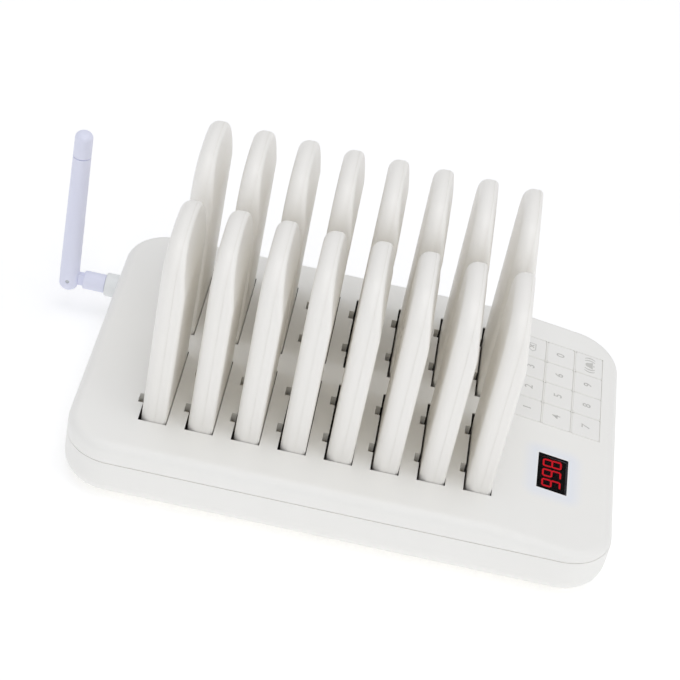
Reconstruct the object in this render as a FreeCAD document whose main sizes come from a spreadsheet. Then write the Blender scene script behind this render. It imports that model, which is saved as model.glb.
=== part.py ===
import FreeCAD, Part
import os
import re
import Sketcher
from FreeCAD import Placement, Rotation, Vector

# Guest pager system: a low charging case with two rows of eight upright pagers,
# a sloping panel with twelve keys and a display, and a folding antenna.
# Millimetres; +X runs from the antenna to the keypad, +Y from front to back,
# +Z up from the floor. The origin lies on the floor under the middle of the whole.

ROWS = 2
PAGERS_PER_ROW = 8
KEY_COLUMNS = 3
KEY_ROWS = 4

# Driving sizes, one cell of the sheet each, in millimetres and degrees.
SIZES = {
    # Case
    "deck_height": 33.0,
    "foot_drop": 1.5,
    "wall": 2.5,
    "plan_corner": 22.0,
    "top_edge_radius": 4.5,
    "bottom_edge_radius": 10.0,
    "seam_drop": 9.8,
    "seam_gap": 0.4,
    "tongue_height": 2.0,
    "tongue_clearance": 0.2,
    "overrun": 5.0,
    # Sloping panel at the right
    "panel_gap": 2.15,
    "panel_length": 55.0,
    "panel_tilt": 8.0,
    "crease_radius": 60.0,
    # Pagers
    "pager_thickness": 11.6,
    "pager_width": 53.0,
    "pager_height": 110.0,
    "pager_corner": 19.0,
    "pager_foot_corner": 4.5,
    "pager_arch_radius": 60.0,
    "pager_back_edge_radius": 4.8,
    "pager_face_edge_radius": 2.2,
    "pager_bevel_height": 24.0,
    "pager_bevel_angle": 8.0,
    "pager_bend_radius": 30.0,
    "pager_wall": 1.6,
    "pager_seam_gap": 0.12,
    "pager_seam_offset": 0.9,
    "pager_seat_gap": 0.2,
    # Electronics of a pager
    "core_board_thickness": 1.0,
    "core_board_offset": 0.6,
    "core_margin": 4.5,
    "core_top_margin": 10.0,
    "battery_width": 34.0,
    "battery_height": 42.0,
    "battery_lift": 38.0,
    "motor_radius": 5.0,
    "motor_lift": 30.0,
    "buzzer_radius": 6.5,
    "buzzer_lift": 75.0,
    "core_part_height": 2.3,
    "pad_width": 5.0,
    "pad_height": 7.0,
    "pad_thickness": 1.8,
    "pad_lift": 9.8,
    "pad_gap": 0.1,
    "pad_leg": 2.0,
    # Slots and wells
    "slot_margin": 30.5,
    "row_margin": 21.45,
    "slot_pitch": 21.0,
    "row_gap": 12.5,
    "slot_depth": 16.0,
    "contact_room": 0.9,
    "pager_clearance": 0.35,
    "pager_side_clearance": 0.4,
    "notch_depth": 2.4,
    "well_wall": 1.5,
    "well_floor": 1.5,
    # Charging contacts and their board
    "contact_front": 12.05,
    "contact_rear": 14.13,
    "contact_width": 4.0,
    "contact_side_gap": 1.0,
    "contact_thickness": 0.4,
    "contact_bow": 2.6,
    "contact_pad_gap": 0.3,
    "contact_rise": 14.0,
    "contact_hole_gap": 0.4,
    "board_thickness": 1.6,
    "board_margin": 1.0,
    # Keys and mat
    "key_pitch_along": 14.7,
    "key_pitch_across": 15.7,
    "key_gap": 0.6,
    "key_edge_gap": 0.25,
    "keypad_along": 3.5,
    "keypad_margin": 18.85,
    "key_proud": 0.3,
    "key_thickness": 3.0,
    "key_corner": 1.2,
    "key_edge_radius": 0.5,
    "key_travel": 0.6,
    "key_stop_gap": 0.3,
    "stem_radius": 2.5,
    "stem_clearance": 0.3,
    "stem_stop_gap": 0.1,
    "collar_radius": 4.5,
    "collar_height": 2.4,
    "mat_thickness": 1.0,
    "mat_inset": 1.0,
    # Display
    "window_margin": 36.95,
    "window_length": 24.3,
    "window_width": 14.85,
    "window_corner": 1.0,
    "window_thickness": 1.45,
    "window_ledge": 0.8,
    "window_ledge_depth": 1.5,
    "window_clearance": 0.1,
    "module_length": 22.6,
    "module_width": 14.0,
    "module_gap": 0.3,
    # Main board
    "main_board_start": 2.5,
    "main_board_end": 53.0,
    "main_board_front_margin": 29.5,
    "main_board_back_margin": 18.5,
    "shield_length": 24.0,
    "shield_width": 16.0,
    "shield_height": 3.0,
    "chip_side": 9.0,
    "chip_height": 1.4,
    "chip_spacing": 16.0,
    # Posts and screws
    "case_post_radius": 4.0,
    "case_post_first": 19.75,
    "case_post_pitch": 101.0,
    "case_post_inset": 14.0,
    "case_screw_seat": 6.5,
    "case_screw_radius": 1.25,
    "case_screw_length": 18.0,
    "case_head_radius": 2.6,
    "case_head_height": 1.8,
    "screw_clearance": 0.25,
    "screw_grip": 0.05,
    "screw_tip_gap": 0.4,
    "recess_width": 0.8,
    "recess_depth": 0.9,
    "recess_reach_share": 0.7,
    "board_post_radius": 2.5,
    "board_post_left": 6.5,
    "board_post_right": 50.3,
    "board_post_front": 6.0,
    "board_post_keypad_gap": 10.45,
    "board_post_back": 7.0,
    "board_screw_radius": 1.0,
    "board_screw_length": 5.0,
    "board_head_radius": 1.9,
    "board_head_height": 1.2,
    "deck_post_first": 43.75,
    "deck_post_pitch": 65.0,
    # Feet
    "foot_radius": 7.0,
    "foot_recess": 0.8,
    "foot_gap": 0.2,
    "foot_edge_radius": 0.6,
    "foot_inset_along": 25.75,
    "foot_inset_across": 33.5,
    # Power inlet in the rear wall
    "inlet_along": 20.0,
    "inlet_height": 16.6,
    "inlet_radius": 4.0,
    "inlet_flange_radius": 5.2,
    "inlet_flange_thickness": 1.0,
    "inlet_clearance": 0.15,
    "inlet_length": 12.0,
    "inlet_bore_radius": 2.75,
    "inlet_bore_depth": 9.5,
    "inlet_pin_radius": 1.0,
    "inlet_nut_radius": 5.0,
    "inlet_nut_thickness": 2.0,
    # Antenna
    "antenna_inset": 33.75,
    "antenna_height": 19.2,
    "collar_reach": 7.0,
    "collar_outer_radius": 5.75,
    "collar_neck_radius": 4.75,
    "collar_neck_gap": 0.1,
    "collar_flange_radius": 6.5,
    "collar_flange_thickness": 2.0,
    "collar_edge_radius": 0.5,
    "shank_radius": 3.0,
    "shank_clearance": 0.05,
    "shank_head_radius": 4.2,
    "shank_head_thickness": 1.5,
    "swivel_gap": 0.25,
    "stem_body_radius": 4.55,
    "stem_edge_radius": 0.8,
    "fold_distance": 25.2,
    "fold_clearance": 7.25,
    "tongue_thickness": 3.0,
    "tongue_radius": 3.0,
    "fork_gap": 0.2,
    "pin_radius": 1.0,
    "pin_clearance": 0.05,
    "pin_grip": 0.02,
    "pin_inset": 0.25,
    "whip_radius": 4.85,
    "whip_tip_radius": 4.25,
    "whip_below": 6.8,
    "whip_above": 84.3,
    "whip_foot_radius": 4.0,
    "tip_edge_radius": 3.0,
    "tip_length": 13.0,
    "tip_gap": 0.4,
    "spigot_radius": 2.8,
    "spigot_length": 4.0,
}

doc = FreeCAD.newDocument("guest_pager_system")
sheet = doc.addObject("Spreadsheet::Sheet", "sizes")
for row, (alias, number) in enumerate(SIZES.items(), start=1):
    sheet.set(f"A{row}", alias)
    sheet.set(f"B{row}", str(number))
    sheet.setAlias(f"B{row}", alias)
doc.recompute()

# Sizes and places that follow from the driving ones, as formulas.
CASE_X = "(fold_distance + whip_radius) / 2"
SLOT_WIDTH = "(pager_thickness + contact_room + pager_clearance)"
SLOT_LENGTH = "(pager_width + 2 * pager_side_clearance)"
CASE_LENGTH = (f"(slot_margin + {PAGERS_PER_ROW - 1} * slot_pitch + {SLOT_WIDTH}"
               " + panel_gap + panel_length)")
CASE_WIDTH = f"(2 * row_margin + {ROWS} * {SLOT_LENGTH} + {ROWS - 1} * row_gap)"
LEFT_END = f"(-{CASE_LENGTH} / 2)"
RIGHT_END = f"({CASE_LENGTH} / 2)"
FRONT_END = f"(-{CASE_WIDTH} / 2)"
BACK_END = f"({CASE_WIDTH} / 2)"
PANEL_START = f"({RIGHT_END} - panel_length)"
KEYPAD_FRONT = f"({BACK_END} - keypad_margin - {KEY_ROWS} * key_pitch_across + key_gap)"
SEAM = "(deck_height - seam_drop)"
WELL_BOTTOM = "(deck_height - slot_depth)"
CONTACT_BOARD = f"({WELL_BOTTOM} - well_floor)"
ROW_STEP = f"({SLOT_LENGTH} + row_gap)"
FIRST_SLOT = f"({LEFT_END} + slot_margin)"
FRONT_ROW = f"({FRONT_END} + row_margin)"
CAP_BOTTOM = "(key_proud - key_thickness)"
COLLAR_TOP = f"({CAP_BOTTOM} - key_travel - key_stop_gap)"
MAT_TOP = f"({COLLAR_TOP} - collar_height)"
MAIN_TOP = f"({MAT_TOP} - mat_thickness)"
MAIN_BOTTOM = f"({MAIN_TOP} - board_thickness)"
PIN_X = f"({LEFT_END} - fold_distance)"
ANTENNA_Y = f"({BACK_END} - antenna_inset)"
NODES = []


def named(formula):
    """The formula with each size read from its cell."""
    def cell(word):
        return "sizes." + word.group() if word.group() in SIZES else word.group()
    return re.sub(r"[a-z_]+", cell, formula)


def value(formula):
    """The formula as a number."""
    return float(sheet.evalExpression(named(formula)))


def bind(item, formulas):
    """Tie an item's properties to formulas in the sheet's sizes."""
    for key, formula in formulas.items():
        item.setExpression(key, named(formula))
    return item


def place(item, x, y, z, frame="case"):
    """Tie an item's place: from the case's middle, in the tilted panel's plane, or by itself."""
    if frame == "case":
        bind(item, {"Placement.Base.x": f"{CASE_X} + ({x})",
                    "Placement.Base.y": y,
                    "Placement.Base.z": z})
    elif frame == "panel":
        item.Placement = Placement(Vector(), Rotation(Vector(0, 1, 0), value("panel_tilt")))
        bind(item, {"Placement.Base.x": f"{CASE_X} + {PANEL_START} + ({x}) * cos(panel_tilt)"
                                        f" + ({z}) * sin(panel_tilt)",
                    "Placement.Base.y": y,
                    "Placement.Base.z": f"deck_height - ({x}) * sin(panel_tilt)"
                                        f" + ({z}) * cos(panel_tilt)",
                    "Placement.Rotation.Angle": "panel_tilt"})
    else:
        bind(item, {"Placement.Base.x": x, "Placement.Base.y": y, "Placement.Base.z": z})
    return item


def block(name, x, y, z, frame="case"):
    """A box between a low and a high formula on each axis."""
    item = doc.addObject("Part::Box", name)
    bind(item, {"Length": f"({x[1]}) - ({x[0]})",
                "Width": f"({y[1]}) - ({y[0]})",
                "Height": f"({z[1]}) - ({z[0]})"})
    return place(item, x[0], y[0], z[0], frame)


def rod(name, axis, middle, span, radius, frame="case"):
    """A cylinder along x, y or z between two formulas, about a middle on the other two axes."""
    item = doc.addObject("Part::Cylinder", name)
    bind(item, {"Radius": radius, "Height": f"({span[1]}) - ({span[0]})"})
    if axis == "x":
        item.Placement = Placement(Vector(), Rotation(Vector(0, 1, 0), 90))
        return place(item, span[0], middle[0], middle[1], frame)
    if axis == "y":
        item.Placement = Placement(Vector(), Rotation(Vector(1, 0, 0), -90))
        return place(item, middle[0], span[0], middle[1], frame)
    return place(item, middle[0], middle[1], span[0], frame)


def fuse(name, items):
    """Items joined to one solid."""
    item = doc.addObject("Part::MultiFuse", name)
    item.Shapes = items
    item.Refine = True
    return item


def common(name, items):
    """What items share."""
    item = doc.addObject("Part::MultiCommon", name)
    item.Shapes = items
    item.Refine = True
    return item


def cut(name, base, tools):
    """A base with tools taken away."""
    item = doc.addObject("Part::Cut", name)
    item.Base = base
    item.Tool = tools[0] if len(tools) == 1 else fuse(name + "_tools", tools)
    item.Refine = True
    return item


def rounded(name, base, picks):
    """A base with the edges that each test picks rounded by its formula."""
    doc.recompute()
    item = doc.addObject("Part::Fillet", name)
    item.Base = base
    item.Edges = [(number, value(radius), value(radius))
                  for radius, pick in picks
                  for number, edge in enumerate(base.Shape.Edges, start=1) if pick(edge)]
    return item


def along_z(edge):
    """Whether a straight edge runs along its solid's own z axis."""
    return edge.BoundBox.ZLength > edge.BoundBox.XLength + edge.BoundBox.YLength


def at_level(level, axis="z"):
    """A test for edges that lie flat at one level of an axis."""
    near = value("screw_grip")

    def test(edge):
        box = edge.BoundBox
        low, high = {"x": (box.XMin, box.XMax), "y": (box.YMin, box.YMax), "z": (box.ZMin, box.ZMax)}[axis]
        return abs(low - level) < near and abs(high - level) < near
    return test


def group(name, items):
    """Separate solids kept as one item."""
    item = doc.addObject("Part::Compound", name)
    item.Links = items
    return item


def node(item, label):
    """Name a finished sub-part after its file."""
    item.Label = label
    NODES.append(item)
    return item


def new_sketch(body, plane, name):
    """An empty sketch on one of a body's own planes."""
    sketch = body.newObject("Sketcher::SketchObject", name)
    support = next(item for item in body.Origin.OriginFeatures if item.Role == plane)
    sketch.AttachmentSupport = [(support, "")]
    sketch.MapMode = "FlatFace"
    return sketch


def fix(sketch, name, constraint, formula):
    """Add a named dimension to a sketch and tie it to a formula."""
    sketch.addConstraint(constraint)
    sketch.renameConstraint(sketch.ConstraintCount - 1, name)
    bind(sketch, {"Constraints." + name: formula})


def fillet_in(body, base, name, radius, pick):
    """Round the picked edges of a body's feature."""
    doc.recompute()
    item = body.newObject("PartDesign::Fillet", name)
    item.Base = (base, [f"Edge{number}" for number, edge in enumerate(base.Shape.Edges, start=1)
                        if pick(edge)])
    bind(item, {"Radius": radius})
    return item


def case_form(name, inset):
    """The case's outside, or the same form drawn in by an inset all round."""
    body = doc.addObject("PartDesign::Body", name)
    sketch = new_sketch(body, "XZ_Plane", name + "_profile")
    half = value(f"{RIGHT_END} - ({inset})")
    low = value(f"foot_drop + ({inset})")
    high = value(f"deck_height - ({inset})")
    radius = value(f"crease_radius - ({inset})")
    tilt = value("panel_tilt")
    bend = value(f"{PANEL_START} - crease_radius * tan(panel_tilt / 2)")
    centre = Vector(bend, high - radius, 0)
    turn = Rotation(Vector(0, 0, 1), -tilt).multVec(Vector(0, radius, 0))
    slope_start = centre + turn
    slope_run = half - slope_start.x
    slope_end = slope_start + Vector(slope_run, slope_run * value("-tan(panel_tilt)"), 0)
    arc_end = Vector(bend, high, 0)
    middle = centre + Rotation(Vector(0, 0, 1), -tilt / 2).multVec(Vector(0, radius, 0))
    corners = [Vector(-half, low, 0), Vector(half, low, 0)]
    sketch.addGeometry([
        Part.LineSegment(corners[0], corners[1]),
        Part.LineSegment(corners[1], slope_end),
        Part.LineSegment(slope_start, slope_end),
        Part.Arc(slope_start, middle, arc_end),
        Part.LineSegment(arc_end, Vector(-half, high, 0)),
        Part.LineSegment(Vector(-half, high, 0), corners[0])], False)
    bottom, right, slope, crease, deck, left = range(6)
    start, end, origin = 1, 2, -1
    sketch.addConstraint([
        Sketcher.Constraint("Coincident", bottom, end, right, start),
        Sketcher.Constraint("Coincident", right, end, slope, end),
        Sketcher.Constraint("Tangent", slope, start, crease, start),
        Sketcher.Constraint("Tangent", crease, end, deck, start),
        Sketcher.Constraint("Coincident", deck, end, left, start),
        Sketcher.Constraint("Coincident", left, end, bottom, start),
        Sketcher.Constraint("Horizontal", bottom),
        Sketcher.Constraint("Horizontal", deck),
        Sketcher.Constraint("Vertical", left),
        Sketcher.Constraint("Vertical", right)])
    fix(sketch, "left", Sketcher.Constraint("DistanceX", bottom, start, origin, start, half),
        f"{RIGHT_END} - ({inset})")
    fix(sketch, "right", Sketcher.Constraint("DistanceX", origin, start, bottom, end, half),
        f"{RIGHT_END} - ({inset})")
    fix(sketch, "low", Sketcher.Constraint("DistanceY", origin, start, bottom, start, low),
        f"foot_drop + ({inset})")
    fix(sketch, "high", Sketcher.Constraint("DistanceY", origin, start, deck, end, high),
        f"deck_height - ({inset})")
    fix(sketch, "bend", Sketcher.Constraint("DistanceX", origin, start, deck, start, bend),
        f"{PANEL_START} - crease_radius * tan(panel_tilt / 2)")
    fix(sketch, "crease", Sketcher.Constraint("Radius", crease, radius), f"crease_radius - ({inset})")
    fix(sketch, "tilt", Sketcher.Constraint("Angle", slope, FreeCAD.Units.Quantity(f"{-tilt} deg")),
        "-panel_tilt")
    pad = body.newObject("PartDesign::Pad", name + "_pad")
    pad.Profile = sketch
    pad.Midplane = True
    bind(pad, {"Length": f"{CASE_WIDTH} - 2 * ({inset})"})
    corners_done = fillet_in(body, pad, name + "_corners", f"plan_corner - ({inset})", along_z)
    doc.recompute()

    def facing(direction):
        found = []
        for face in corners_done.Shape.Faces:
            u_low, u_high, v_low, v_high = face.ParameterRange
            if face.normalAt((u_low + u_high) / 2, (v_low + v_high) / 2).z * direction > 0.9:
                found.extend(face.Edges)
        return [edge for edge in found if sum(edge.isSame(other) for other in found) == 1]

    upper = facing(1)
    upper_done = fillet_in(body, corners_done, name + "_top", f"top_edge_radius - ({inset})",
                           lambda edge: any(edge.isSame(other) for other in upper))
    doc.recompute()
    floor_level = at_level(low)
    lower_done = fillet_in(body, upper_done, name + "_bottom", f"bottom_edge_radius - ({inset})",
                           floor_level)
    body.Tip = lower_done
    return place(body, "0", "0", "0")


def pager_form(name, inset):
    """A pager's outside, standing on its own origin, or the same form drawn in by an inset."""
    body = doc.addObject("PartDesign::Body", name + "_body")
    sketch = new_sketch(body, "YZ_Plane", name + "_outline")
    half = value(f"pager_width / 2 - ({inset})")
    low = value(inset)
    foot = value(f"pager_foot_corner - ({inset})")
    corner = value(f"pager_corner - ({inset})")
    arch = value(f"pager_arch_radius - ({inset})")
    arch_centre = value("pager_height - pager_arch_radius")
    corner_x = half - corner
    corner_y = arch_centre + ((arch - corner) ** 2 - corner_x ** 2) ** 0.5
    to_corner = Vector(corner_x, corner_y - arch_centre, 0).normalize()
    touch = Vector(corner_x, corner_y, 0) + to_corner * corner
    mirror_touch = Vector(-touch.x, touch.y, 0)
    bend = (to_corner + Vector(1, 0, 0)).normalize() * corner
    foot_bend = Vector(1, -1, 0).normalize() * foot

    def foot_arc(side):
        centre = Vector(side * (half - foot), low + foot, 0)
        ends = [Vector(side * (half - foot), low, 0), Vector(side * half, low + foot, 0)]
        bend_point = centre + Vector(side * foot_bend.x, foot_bend.y, 0)
        first, last = ends if side > 0 else ends[::-1]
        return ends, Part.Arc(first, bend_point, last)

    right_foot, right_foot_arc = foot_arc(1)
    left_foot, left_foot_arc = foot_arc(-1)
    right_top = Vector(half, corner_y, 0)
    left_top = Vector(-half, corner_y, 0)
    outline = [
        Part.LineSegment(left_foot[0], right_foot[0]),
        right_foot_arc,
        Part.LineSegment(right_foot[1], right_top),
        Part.Arc(right_top, Vector(corner_x, corner_y, 0) + bend, touch),
        Part.Arc(touch, Vector(0, arch_centre + arch, 0), mirror_touch),
        Part.Arc(mirror_touch, Vector(-corner_x - bend.x, corner_y + bend.y, 0), left_top),
        Part.LineSegment(left_top, left_foot[1]),
        left_foot_arc]
    sketch.addGeometry(outline, False)
    start, end, centre_point, origin, upright = 1, 2, 3, -1, -2
    near = value("screw_grip")

    def ends_of(number):
        item = sketch.Geometry[number]
        return {start: item.StartPoint, end: item.EndPoint}

    for number in range(len(outline)):
        other = (number + 1) % len(outline)
        pair = [(a, b) for a, p in ends_of(number).items() for b, q in ends_of(other).items()
                if p.distanceToPoint(q) < near][0]
        sketch.addConstraint(Sketcher.Constraint("Tangent", number, pair[0], other, pair[1]))
    sketch.addConstraint([
        Sketcher.Constraint("Horizontal", 0),
        Sketcher.Constraint("PointOnObject", 4, centre_point, upright),
        Sketcher.Constraint("Equal", 1, 7),
        Sketcher.Constraint("Equal", 3, 5)])
    fix(sketch, "right", Sketcher.Constraint("DistanceX", origin, start, 2, start, half),
        f"pager_width / 2 - ({inset})")
    fix(sketch, "left", Sketcher.Constraint("DistanceX", 6, start, origin, start, half),
        f"pager_width / 2 - ({inset})")
    if low:
        fix(sketch, "low", Sketcher.Constraint("DistanceY", origin, start, 0, start, low), inset)
    else:
        sketch.addConstraint(Sketcher.Constraint("PointOnObject", 0, start, -1))
    fix(sketch, "arch_centre", Sketcher.Constraint("DistanceY", origin, start, 4, centre_point, arch_centre),
        "pager_height - pager_arch_radius")
    fix(sketch, "arch", Sketcher.Constraint("Radius", 4, arch), f"pager_arch_radius - ({inset})")
    fix(sketch, "corner", Sketcher.Constraint("Radius", 3, corner), f"pager_corner - ({inset})")
    fix(sketch, "foot_corner", Sketcher.Constraint("Radius", 1, foot), f"pager_foot_corner - ({inset})")
    pad = body.newObject("PartDesign::Pad", name + "_pad")
    pad.Profile = sketch
    pad.Midplane = True
    bind(pad, {"Length": f"pager_thickness - 2 * ({inset})"})
    back_side = at_level(value(f"({inset}) - pager_thickness / 2"), "x")
    body.Tip = fillet_in(body, pad, name + "_back_edges", f"pager_back_edge_radius - ({inset})", back_side)

    # The bevel: a block that leans over the face's upper part
    face = f"(pager_thickness / 2 - ({inset}) / cos(pager_bevel_angle))"
    start = "(pager_height - pager_bevel_height - overrun)"
    leaning = block(name + "_bevel_form",
                    (f"{face} + overrun * tan(pager_bevel_angle)", "2 * pager_thickness"),
                    around("0", "pager_width / 2 + overrun"), (start, f"{start} + pager_height"), "own")
    leaning.Placement.Rotation = Rotation(Vector(0, -1, 0), value("pager_bevel_angle"))
    bind(leaning, {"Placement.Rotation.Angle": "pager_bevel_angle"})
    bevelled = cut(name + "_bevelled", body, [leaning])
    bent = rounded(name + "_bend", bevelled, [(f"pager_bend_radius - ({inset})", at_bend)])
    return rounded(name, bent, [(f"pager_face_edge_radius - ({inset})", at_face_edge)])


def at_bend(edge):
    """Whether an edge is the crease where a pager's bevel starts."""
    box = edge.BoundBox
    return box.YLength > value("pager_width / 2") and box.ZLength < value("screw_grip") \
        and box.XMin > 0 and box.ZMin > value("pager_height / 2")


def at_face_edge(edge):
    """Whether an edge lies on the outline of a pager's face or of its bevel."""
    box = edge.BoundBox
    across_bend = box.YLength > value("pager_width / 2") and box.ZLength < value("pager_bevel_height / 2") \
        and value("pager_height / 2") < box.ZMin < value("pager_height - pager_bevel_height / 2")
    return box.XMin > 0 and not across_bend


def slot_corner(row, column):
    """The front left corner of a slot."""
    return f"({FIRST_SLOT} + {column} * slot_pitch)", f"({FRONT_ROW} + {row} * {ROW_STEP})"


def contact_middles(slot_y):
    """Where the two contacts of a slot lie across the pager."""
    middle = f"{slot_y} + {SLOT_LENGTH} / 2"
    return [f"({middle} - contact_front)", f"({middle} + contact_rear)"]


CASE_POSTS = [(f"({LEFT_END} + case_post_first + {column} * case_post_pitch)",
               f"({side} * ({BACK_END} - case_post_inset))")
              for column in range(3) for side in (-1, 1)]
DECK_POSTS = [(f"({LEFT_END} + deck_post_first + {column} * deck_post_pitch)",
               f"({FRONT_ROW} + {SLOT_LENGTH} + row_gap / 2)") for column in range(3)]
BOARD_FRONT = f"({FRONT_END} + main_board_front_margin)"
BOARD_BACK = f"({BACK_END} - main_board_back_margin)"
BOARD_POSTS = [(along, across) for across in (f"({BOARD_FRONT} + board_post_front)",
                                              f"({KEYPAD_FRONT} - board_post_keypad_gap)")
               for along in ("board_post_left", "board_post_right")]
BOARD_POSTS.append(("board_post_right", f"({BOARD_BACK} - board_post_back)"))
FEET = [(f"({end} * ({RIGHT_END} - foot_inset_along))", f"({side} * ({BACK_END} - foot_inset_across))")
        for end in (-1, 1) for side in (-1, 1)]


def key_middle(column, row):
    """A key's middle, along and across the panel."""
    return (f"(keypad_along + (key_pitch_along - key_gap) / 2 + {column} * key_pitch_along)",
            f"({KEYPAD_FRONT} + (key_pitch_across - key_gap) / 2 + {row} * key_pitch_across)")


WINDOW_ALONG = key_middle(1, 0)[0]
WINDOW_ACROSS = f"({FRONT_END} + window_margin + window_length / 2)"


def around(middle, half):
    """A low and a high formula about a middle."""
    return f"{middle} - ({half})", f"{middle} + ({half})"


def covers():
    """The upper and lower shell of the case, with a tongue and groove at the seam."""
    outside = case_form("case_outside", "0")
    hollow = case_form("case_hollow", "wall")
    groove_form = case_form("groove_form", "wall / 2")
    tongue_form = case_form("tongue_form", "wall / 2 + tongue_clearance")
    whole_x = (f"{LEFT_END} - overrun", f"{RIGHT_END} + overrun")
    whole_y = (f"{FRONT_END} - overrun", f"{BACK_END} + overrun")
    shell = cut("case_shell", outside, [hollow])
    upper = common("upper_shell", [shell, block("above_seam", whole_x, whole_y,
                                                (SEAM, "deck_height + overrun"))])

    def plan(name, inset):
        """The case's plan drawn in by an inset, as a prism through the seam and the deck."""
        form = block(name + "_form", (f"{LEFT_END} + {inset}", f"{RIGHT_END} - {inset}"),
                     (f"{FRONT_END} + {inset}", f"{BACK_END} - {inset}"),
                     (f"{SEAM} - overrun", "deck_height + overrun"))
        return rounded(name, form, [(f"plan_corner - {inset}", along_z)])

    inner_plan = plan("inner_plan", "wall")
    groove_plan = plan("groove_plan", "(wall + seam_gap)")
    lower = cut("lower_wall", common("lower_shell", [shell, block(
        "below_seam", whole_x, whole_y, ("-overrun", f"{SEAM} - seam_gap"))]), [inner_plan])
    groove = cut("seam_groove", common("groove_ring", [groove_form, block(
        "groove_band", whole_x, whole_y,
        (f"{SEAM} - overrun", f"{SEAM} + tongue_height"))]), [groove_plan])
    tongue = cut("seam_tongue", common("tongue_ring", [tongue_form, block(
        "tongue_band", whole_x, whole_y,
        (f"{SEAM} - seam_gap", f"{SEAM} + tongue_height - tongue_clearance"))]), [inner_plan])
    collar_hole = rod("collar_hole", "x", (ANTENNA_Y, "antenna_height"),
                      (f"{LEFT_END} - overrun", f"{LEFT_END} + wall + overrun"),
                      "collar_neck_radius + collar_neck_gap")

    additions = []
    for row in range(ROWS):
        x, y = slot_corner(row, 0)
        last_x = slot_corner(row, PAGERS_PER_ROW - 1)[0]
        additions.append(block(f"wells_{row}", (f"{x} - notch_depth - well_wall",
                                                f"{last_x} + {SLOT_WIDTH} + well_wall"),
                               (f"{y} - well_wall", f"{y} + {SLOT_LENGTH} + well_wall"),
                               (CONTACT_BOARD, "deck_height")))
    for number, (x, y) in enumerate(CASE_POSTS):
        additions.append(rod(f"upper_post_{number}", "z", (x, y), (SEAM, "deck_height"),
                             "case_post_radius"))
    for number, (x, y) in enumerate(DECK_POSTS):
        additions.append(rod(f"deck_post_{number}", "z", (x, y), (CONTACT_BOARD, "deck_height"),
                             "board_post_radius"))
    for number, (along, across) in enumerate(BOARD_POSTS):
        additions.append(rod(f"board_post_{number}", "z", (along, across), (MAIN_TOP, "0"),
                             "board_post_radius", "panel"))
    trimmed = common("upper_additions", [outside, fuse("upper_posts", additions)])
    solid = fuse("upper_solid", [cut("upper_grooved", upper, [groove]), trimmed])

    openings = [collar_hole]
    for row in range(ROWS):
        for column in range(PAGERS_PER_ROW):
            x, y = slot_corner(row, column)
            tag = f"{row}_{column}"
            openings.append(block(f"slot_{tag}", (x, f"{x} + {SLOT_WIDTH}"),
                                  (y, f"{y} + {SLOT_LENGTH}"), (WELL_BOTTOM, "deck_height + overrun")))
            for number, middle in enumerate(contact_middles(y)):
                openings.append(block(f"notch_{tag}_{number}", (f"{x} - notch_depth", f"{x} + contact_room"),
                                      around(middle, "contact_width / 2 + contact_side_gap"),
                                      (WELL_BOTTOM, "deck_height + overrun")))
                strip = f"{x} + contact_room - contact_pad_gap - contact_bow"
                openings.append(block(f"contact_hole_{tag}_{number}",
                                      (f"{strip} - contact_hole_gap",
                                       f"{strip} + contact_thickness + contact_hole_gap"),
                                      around(middle, "contact_width / 2 + contact_hole_gap"),
                                      (f"{CONTACT_BOARD} - overrun", f"{WELL_BOTTOM} + well_floor")))
            if column:
                openings.append(block(f"rib_hollow_{tag}", (
                    f"{x} - slot_pitch + {SLOT_WIDTH} + well_wall", f"{x} - notch_depth - well_wall"),
                    (y, f"{y} + {SLOT_LENGTH}"), (f"{CONTACT_BOARD} - overrun", "deck_height - wall")))
    openings.append(block("keypad_opening", (
        "keypad_along - key_edge_gap",
        f"keypad_along + {KEY_COLUMNS} * key_pitch_along - key_gap + key_edge_gap"),
        (f"{KEYPAD_FRONT} - key_edge_gap", f"{BACK_END} - keypad_margin + key_edge_gap"),
        ("-wall - key_thickness", "overrun"), "panel"))
    recess = rounded("window_recess", block("window_recess_form", around(WINDOW_ALONG, "window_width / 2"),
                                            around(WINDOW_ACROSS, "window_length / 2"),
                                            ("-window_ledge_depth", "overrun"), "panel"),
                     [("window_corner", upright_on_panel)])
    openings.append(recess)
    openings.append(block("window_opening", around(WINDOW_ALONG, "window_width / 2 - window_ledge"),
                          around(WINDOW_ACROSS, "window_length / 2 - window_ledge"),
                          ("-wall - overrun", "0"), "panel"))
    for number, (x, y) in enumerate(CASE_POSTS):
        openings.append(rod(f"upper_pilot_{number}", "z", (x, y), (
            f"{SEAM} - overrun", "foot_drop + case_screw_seat + case_screw_length + screw_tip_gap"),
            "case_screw_radius + screw_grip"))
    for number, (x, y) in enumerate(DECK_POSTS):
        openings.append(rod(f"deck_pilot_{number}", "z", (x, y), (
            f"{CONTACT_BOARD} - overrun",
            f"{CONTACT_BOARD} - board_thickness + board_screw_length + screw_tip_gap"),
            "board_screw_radius + screw_grip"))
    for number, (along, across) in enumerate(BOARD_POSTS):
        openings.append(rod(f"board_pilot_{number}", "z", (along, across), (
            f"{MAIN_TOP} - board_thickness",
            f"{MAIN_BOTTOM} + board_screw_length + screw_tip_gap"),
            "board_screw_radius + screw_grip", "panel"))
    node(cut("upper_cover", solid, openings), "top_cover")

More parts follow.
